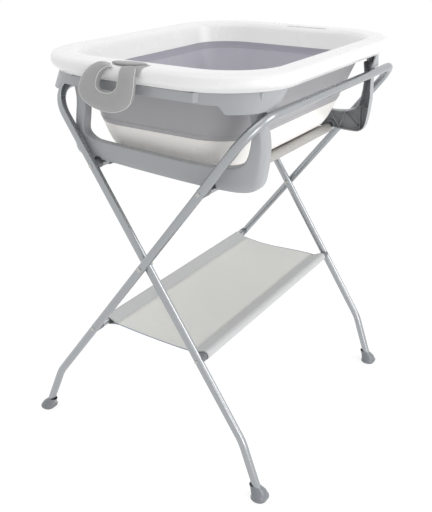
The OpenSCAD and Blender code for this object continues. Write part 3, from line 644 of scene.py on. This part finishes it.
def cord_round(path, radius, sides=8):
    """A round cord along open lines of points: at each point, a ring of that radius in the
    plane across the line, turned from a fixed side direction so that it doesn't twist."""
    along = np.gradient(path, axis=0)
    along /= np.linalg.norm(along, axis=1)[:, None]
    aside = np.cross(along, (0.31, 0.2, 0.93))
    aside /= np.linalg.norm(aside, axis=1)[:, None]
    up = np.cross(aside, along)
    a = np.arange(sides) * 2 * math.pi / sides
    return (path[:, None] + radius * (aside[:, None] * np.cos(a)[:, None]
                                      + up[:, None] * np.sin(a)[:, None]))


def cords(name, paths, radius, material, body=None, slot=None):
    """Several round cords in one piece."""
    tubes = [cord_round(np.asarray(path, float), radius) for path in paths]
    return piece(name, *joined([(tube, capped(tube)) for tube in tubes]), material, body, slot)


shelf_nylon = woven("woven_shelf_nylon", "#F6F6F4", "#FCFCFA", clear=0.45)
shelf_double = woven("doubled_shelf_nylon", "#D9DADB", "#E2E3E4", clear=0.1)
# The sling's cloth and sleeves get darker beige tones of the light nylon: painted shade from the bath
# above them
shaded_sling_nylon = woven("woven_sling_nylon_painted_shade", "#D6D3CA", "#E0DDD5", clear=0.2)
shaded_sling_double = woven("doubled_sling_nylon_painted_shade", "#C0BEBA", "#CAC8C4", clear=0.1)
binding = woven("blue_grey_binding", "#9AA3B5", "#A9B1C2", thread=0.6)
soft_waves = ((1.4, 9, 14, 0.4), (1.1, -15, 21, 1.9), (0.8, 31, 8, 4.0), (0.5, 47, -30, 2.2))
for name, sag, hem, fabrics, edging in (
        ("shelf_cloth", 9, 27, [shelf_nylon, shelf_double], binding),
        ("sling_cloth", 10, 20, [shaded_sling_nylon, shaded_sling_double], shaded_sling_double)):
    low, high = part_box(name)
    bars = name.split("_")[0]
    low_bar, high_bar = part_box(f"outer_{bars}_bar")
    bar_y = abs(low_bar.y + high_bar.y) / 2 / MM
    bar_z = (low_bar.z + high_bar.z) / 2 / MM
    points, uv, edge = bar_sheet(low.x / MM, high.x / MM, bar_y, bar_z, sag, hem,
                                soft_waves)
    side = 1 if low_bar.y + high_bar.y > 0 else -1
    start, end = ((0, way * side * (bar_y - 12) * MM, bar_z * MM) for way in (1, -1))
    made = cloth_piece(name + "_web", points, uv, fabrics, bars + "_fabric", 0.9,
                       edge)
    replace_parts(made, name)
    hems = cords(name + "_binding", [points[row, edge - 1:-edge + 1] for row in (0, -1)],
                 1.1 * MM, edging, None, bars + "_fabric")
    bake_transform(hems)

# ---- Head pad ----
# A horseshoe pad of grey felt over foam, hung from a felt tab that lies on the rim. Its
# two faces are sewn together round the edge, with a pale welt just inside the seam.
felt = finish("grey_wool_felt", "#A3A3A4", "#ADADAD", 0.85, grain=0.9, depth=0.25,
              Sheen_Weight=0.4, Sheen_Roughness=0.5)
welt_thread = finish("pale_welt_thread", "#D6D6D3", "#DEDEDB", 0.8, grain=0.5, depth=0.1)
low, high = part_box("head_pad")
pad_mid, pad_top = (low.y + high.y) / 2 / MM, high.z / MM
face_x, thick = low.x / MM, (high.x - low.x) / MM
# Pairs of points on its inner and outer edge, from the tip of its long curled arm, round
# the bottom, to the end of its short arm: (y from the middle, z from the top) of each
pad_edges = through([(-16.9, 3, -16.3, 4), (-7, 1.8, 4, 3.6), (1.7, -0.8, 20, 7.2),
                     (12, -7.9, 36.6, 2.3), (17.3, -19.3, 53, -12), (20.3, -30, 65.5, -34),
                     (18.6, -37, 69, -50), (12.5, -41.6, 60.5, -65), (4.5, -43, 36.5, -77),
                     (-3.5, -42.5, 7.5, -82), (-12.5, -39.5, -19.5, -81),
                     (-20, -34, -42.5, -73), (-25, -27, -56.5, -61), (-27.3, -19, -63.5, -43),
                     (-27.5, -10, -66.5, -24), (-26.5, -3, -65, -5), (-25.2, 4, -58, 6)], 150)
across = np.linspace(0, 1, 27)
rows = np.linspace(0, 1, len(pad_edges))
taper = np.clip(np.minimum(rows / 0.10, (1 - rows) / 0.05), 0, 1) ** 0.5
flat_yz = (pad_edges[:, None, :2] * (1 - across[:, None])
           + pad_edges[:, None, 2:] * across[:, None]) + (pad_mid, pad_top)
# Its thickness is the 0.4 power of a half sine, and its top 23 mm leans in over the rim's
# crown, by 10 mm times the square of (z - pad_top + 23) / 25
proud = taper[:, None] * np.sin(np.pi * across) ** 0.4 * thick / 2
lean_in = 10 * np.clip((flat_yz[..., 1] - (pad_top - 23)) / 25, 0, None) ** 2
middle_x = face_x + thick / 2 + lean_in
front = np.dstack([middle_x - proud, flat_yz])
back = np.dstack([middle_x + proud * 0.92, flat_yz])
hull = np.concatenate([front, back[:, ::-1]], 1)
pad = piece("horseshoe_pad", hull * MM, quads(*hull.shape[:2], wrap_cols=True), felt, "pad",
            "pad_fabric", weld=0.05 * MM)


def puffed(made, voxel, pressure, cap, steps=20):
    """Blows a closed soft piece up as cloth, with no gravity, and lets no point move further
    than the cap, both in millimetres: moved = rest + move * min(1, cap / |move|)."""
    skin = made.modifiers.new("skin", "REMESH")
    skin.mode, skin.voxel_size = "VOXEL", voxel * MM
    graph = bpy.context.evaluated_depsgraph_get()
    mesh = bpy.data.meshes.new_from_object(made.evaluated_get(graph))
    made.modifiers.clear()
    made.data = mesh
    rest = np.zeros(len(mesh.vertices) * 3)
    mesh.vertices.foreach_get("co", rest)
    cloth = made.modifiers.new("Cloth", "CLOTH")
    cloth.settings.use_pressure = True
    cloth.settings.uniform_pressure_force = pressure
    cloth.settings.effector_weights.gravity = 0
    cloth.settings.quality = 6
    cloth.point_cache.frame_end = steps
    for step in range(1, steps + 1):
        bpy.context.scene.frame_set(step)
    moved = np.zeros_like(rest)
    made.evaluated_get(bpy.context.evaluated_depsgraph_get()).data.vertices.foreach_get(
        "co", moved)
    made.modifiers.remove(cloth)
    bpy.context.scene.frame_set(1)
    move = (moved - rest).reshape(-1, 3)
    far = np.linalg.norm(move, axis=1)[:, None]
    move *= np.minimum(1, cap * MM / np.maximum(far, 1e-9))
    mesh.vertices.foreach_set("co", (rest.reshape(-1, 3) + move).ravel())
    mesh.update()
    mesh.shade_smooth()
    smooth = made.modifiers.new("fine_skin", "SUBSURF")
    smooth.levels = smooth.render_levels = 1
    return made


puffed(pad, voxel=3.0, pressure=4.0, cap=2.0)
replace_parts(pad, "head_pad")


def on_front(v):
    """The line on the pad's front at a share v from its inner to its outer edge, laid on the
    finished surface and lifted half a millimetre off it. Points that land on the one before
    are left out."""
    k = v * (len(across) - 1)
    i = int(k)
    part = k - i
    off_ends = slice(4, -3)
    line = (front[off_ends, i] * (1 - part) + front[off_ends, i + 1] * part) * MM
    close = [pad.closest_point_on_mesh(Vector(p)) for p in line]
    laid = np.array([hit[1] + hit[2] * 0.5 * MM for hit in close])
    return laid[np.r_[True, np.linalg.norm(np.diff(laid, axis=0), axis=1) > 0.01 * MM]]


inner_welt, outer_welt = 0.08, 0.945
cords("pad_welt", [on_front(inner_welt), on_front(outer_welt)], 0.9 * MM, welt_thread, "pad",
      "pad_fabric")

# The tab is a lens of thick felt on the rim's crown, turned to lie along the edge, with a
# domed top and a flatter underside. Its strap bends over the edge, down to the pad
low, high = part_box("pad_tab")
tab_z, tab_y = low.z / MM, (low.y + high.y) / 2 / MM
turned, half_long, half_wide = math.radians(100), 37, 15
behind_pad, above_rim, over, under = 41, 2.1, 3.2, -1.9
u = np.linspace(-1, 1, 61)[:, None]
v = np.linspace(-1, 1, 17)
wide = half_wide * np.maximum(1 - u ** 2, 0) ** 0.8
along_x = half_long * u * math.cos(turned) + wide * v * math.sin(turned)
along_y = half_long * u * math.sin(turned) - wide * v * math.cos(turned)
plump = np.sqrt(np.maximum(1 - np.maximum(np.abs(v) ** 4, u ** 6), 0))
lens = [np.dstack([along_x + face_x + behind_pad, along_y + tab_y,
                   tab_z + above_rim + up * plump]) for up in (over, under)]
lens = np.concatenate([lens[0], lens[1][:, ::-1]], 1)
tab = piece("rim_tab", lens * MM, quads(*lens.shape[:2], wrap_cols=True), felt, "pad",
            "pad_fabric", weld=0.02 * MM)
strap_line = through([(face_x + 52, tab_z + 0.9), (face_x + 38, tab_z + 1),
                      (face_x + 27, tab_z - 1), (face_x + 19, tab_z - 5.5),
                      (face_x + 13, tab_z - 13)], 24)
strap_y = np.linspace(low.y / MM + 0.5, low.y / MM + 21.5, 9)
rows, cols = len(strap_line), len(strap_y)
strap = np.dstack([np.tile(strap_line[:, :1], cols), np.tile(strap_y, (rows, 1)),
                   np.tile(strap_line[:, 1:], cols)])
strap = piece("tab_strap", strap * MM, quads(rows, cols), felt, "pad", "pad_fabric", closed=False)
solid = strap.modifiers.new("felt_thickness", "SOLIDIFY")
solid.thickness, solid.offset = 1.6 * MM, 0
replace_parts(tab, "pad_tab")
